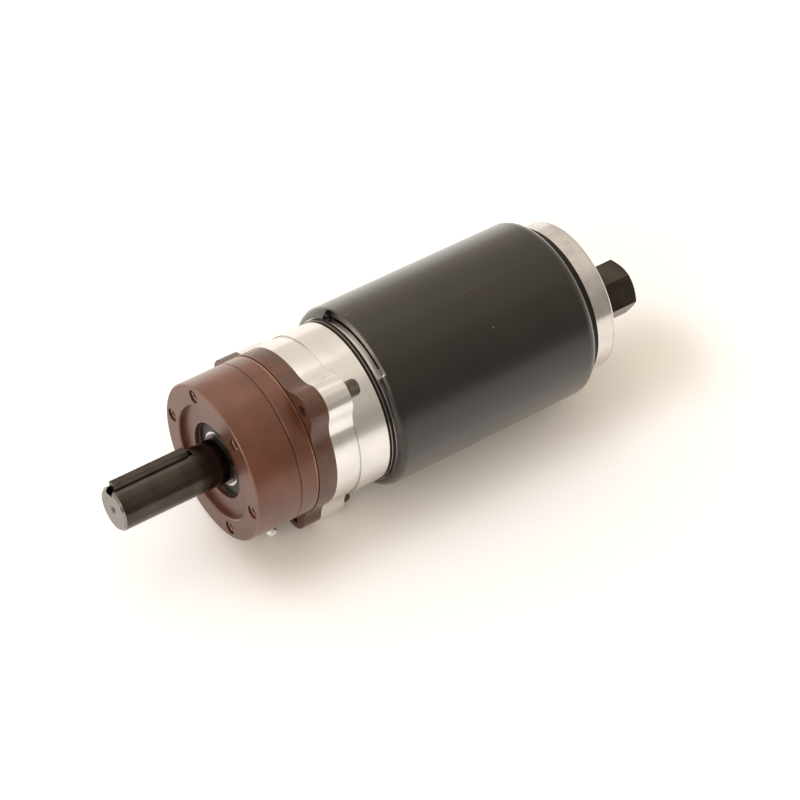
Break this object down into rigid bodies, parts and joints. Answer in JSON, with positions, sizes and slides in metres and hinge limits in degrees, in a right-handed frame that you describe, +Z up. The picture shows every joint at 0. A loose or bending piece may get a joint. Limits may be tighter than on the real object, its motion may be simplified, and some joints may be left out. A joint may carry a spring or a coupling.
{
  "type": "air vane motor",
  "caption": "Cylindrical rotary-vane air motor with a planetary gearhead, tapped round mounting face, keyed output shaft, dark exhaust sleeve and hexagonal air inlet.",
  "frame": {"origin": "centre of the front mounting face, on the shaft's axis", "axes": "+X out along the output shaft, +Z up, exhaust notch on the +Z side"},
  "size_m": [0.3328, 0.1111, 0.106],
  "materials": {
    "brown_anodised": "satin reddish-brown anodised, turned",
    "bright_aluminium": "bright turned and milled aluminium",
    "cap_aluminium": "satin turned aluminium",
    "charcoal_sleeve": "satin black coating",
    "black_oxide_steel": "black oxide, oiled",
    "polished_steel": "ground bearing steel",
    "machined_steel": "machined steel",
    "cast_iron": "machined cast iron",
    "bronze": "plain bronze",
    "nickel_steel": "bright plated steel",
    "vane_composite": "fabric-filled resin",
    "black_rubber": "matte moulded rubber"
  },
  "bodies": {
    "case": {"nose_flange": "brown_anodised", "gear_case": "brown_anodised", "front_bearing_outer": "polished_steel", "front_bearing_shields": "machined_steel", "rear_bearing_outer": "polished_steel", "gear_housing": "bright_aluminium", "lobe_screws": "black_oxide_steel", "lock_washers": "black_oxide_steel", "ring_gear": "machined_steel", "cylinder": "cast_iron", "front_end_plate": "cast_iron", "rear_end_plate": "cast_iron", "rotor_front_outer": "polished_steel", "rotor_rear_outer": "polished_steel", "front_seal": "black_rubber", "lock_ring": "polished_steel", "joint_seal": "black_rubber", "motor_housing": "bright_aluminium", "exhaust_sleeve": "charcoal_sleeve", "rear_seal": "black_rubber", "rear_cap": "cap_aluminium", "inlet_fitting": "black_oxide_steel", "grease_nipple": "nickel_steel"},
    "output": {"output_shaft": "black_oxide_steel", "shaft_key": "black_oxide_steel", "shaft_circlip": "black_oxide_steel", "front_bearing_inner": "polished_steel", "bearing_spacer": "machined_steel", "rear_bearing_inner": "polished_steel", "planet_pins": "machined_steel", "carrier_plate": "machined_steel"},
    "planet_1": {"planet_gear_1": "machined_steel", "planet_bush_1": "bronze"},
    "planet_2": {"planet_gear_2": "machined_steel", "planet_bush_2": "bronze"},
    "planet_3": {"planet_gear_3": "machined_steel", "planet_bush_3": "bronze"},
    "air_rotor": {"rotor": "machined_steel", "sun_pinion": "machined_steel", "vane_1": "vane_composite", "vane_2": "vane_composite", "vane_3": "vane_composite", "vane_4": "vane_composite", "vane_5": "vane_composite", "rotor_front_inner": "polished_steel", "rotor_rear_inner": "polished_steel"},
    "front_ball_set": {"front_bearing_balls": "polished_steel", "front_bearing_cage": "bronze"},
    "rear_ball_set": {"rear_bearing_balls": "polished_steel", "rear_bearing_cage": "bronze"},
    "rotor_front_ball_set": {"rotor_front_balls": "polished_steel", "rotor_front_cage": "bronze"},
    "rotor_rear_ball_set": {"rotor_rear_balls": "polished_steel", "rotor_rear_cage": "bronze"}
  },
  "joints": [
    {"name": "output_spin", "type": "hinge", "parent": "case", "child": "output", "pos_m": [0, 0, 0], "axis": [1, 0, 0], "continuous": true},
    {"name": "planet_1_spin", "type": "hinge", "parent": "output", "child": "planet_1", "pos_m": [-0.062, 0.0231, 0], "axis": [1, 0, 0], "continuous": true},
    {"name": "planet_2_spin", "type": "hinge", "parent": "output", "child": "planet_2", "pos_m": [-0.062, -0.01155, 0.02001], "axis": [1, 0, 0], "continuous": true},
    {"name": "planet_3_spin", "type": "hinge", "parent": "output", "child": "planet_3", "pos_m": [-0.062, -0.01155, -0.02001], "axis": [1, 0, 0], "continuous": true},
    {"name": "rotor_spin", "type": "hinge", "parent": "case", "child": "air_rotor", "pos_m": [-0.15, 0, 0], "axis": [1, 0, 0], "continuous": true},
    {"name": "front_ball_spin", "type": "hinge", "parent": "case", "child": "front_ball_set", "pos_m": [-0.01235, 0, 0], "axis": [1, 0, 0], "continuous": true},
    {"name": "rear_ball_spin", "type": "hinge", "parent": "case", "child": "rear_ball_set", "pos_m": [-0.03695, 0, 0], "axis": [1, 0, 0], "continuous": true},
    {"name": "rotor_front_ball_spin", "type": "hinge", "parent": "case", "child": "rotor_front_ball_set", "pos_m": [-0.1014, 0, 0], "axis": [1, 0, 0], "continuous": true},
    {"name": "rotor_rear_ball_spin", "type": "hinge", "parent": "case", "child": "rotor_rear_ball_set", "pos_m": [-0.2012, 0, 0], "axis": [1, 0, 0], "continuous": true}
  ],
  "couplings": [
    {"joint": "planet_1_spin", "follows": "output_spin", "ratio": -2.8333},
    {"joint": "planet_2_spin", "follows": "output_spin", "ratio": -2.8333},
    {"joint": "planet_3_spin", "follows": "output_spin", "ratio": -2.8333},
    {"joint": "rotor_spin", "follows": "output_spin", "ratio": 4.4},
    {"joint": "front_ball_spin", "follows": "output_spin", "ratio": 0.39633},
    {"joint": "rear_ball_spin", "follows": "output_spin", "ratio": 0.39633},
    {"joint": "rotor_front_ball_spin", "follows": "output_spin", "ratio": 1.672},
    {"joint": "rotor_rear_ball_spin", "follows": "output_spin", "ratio": 1.6}
  ]
}
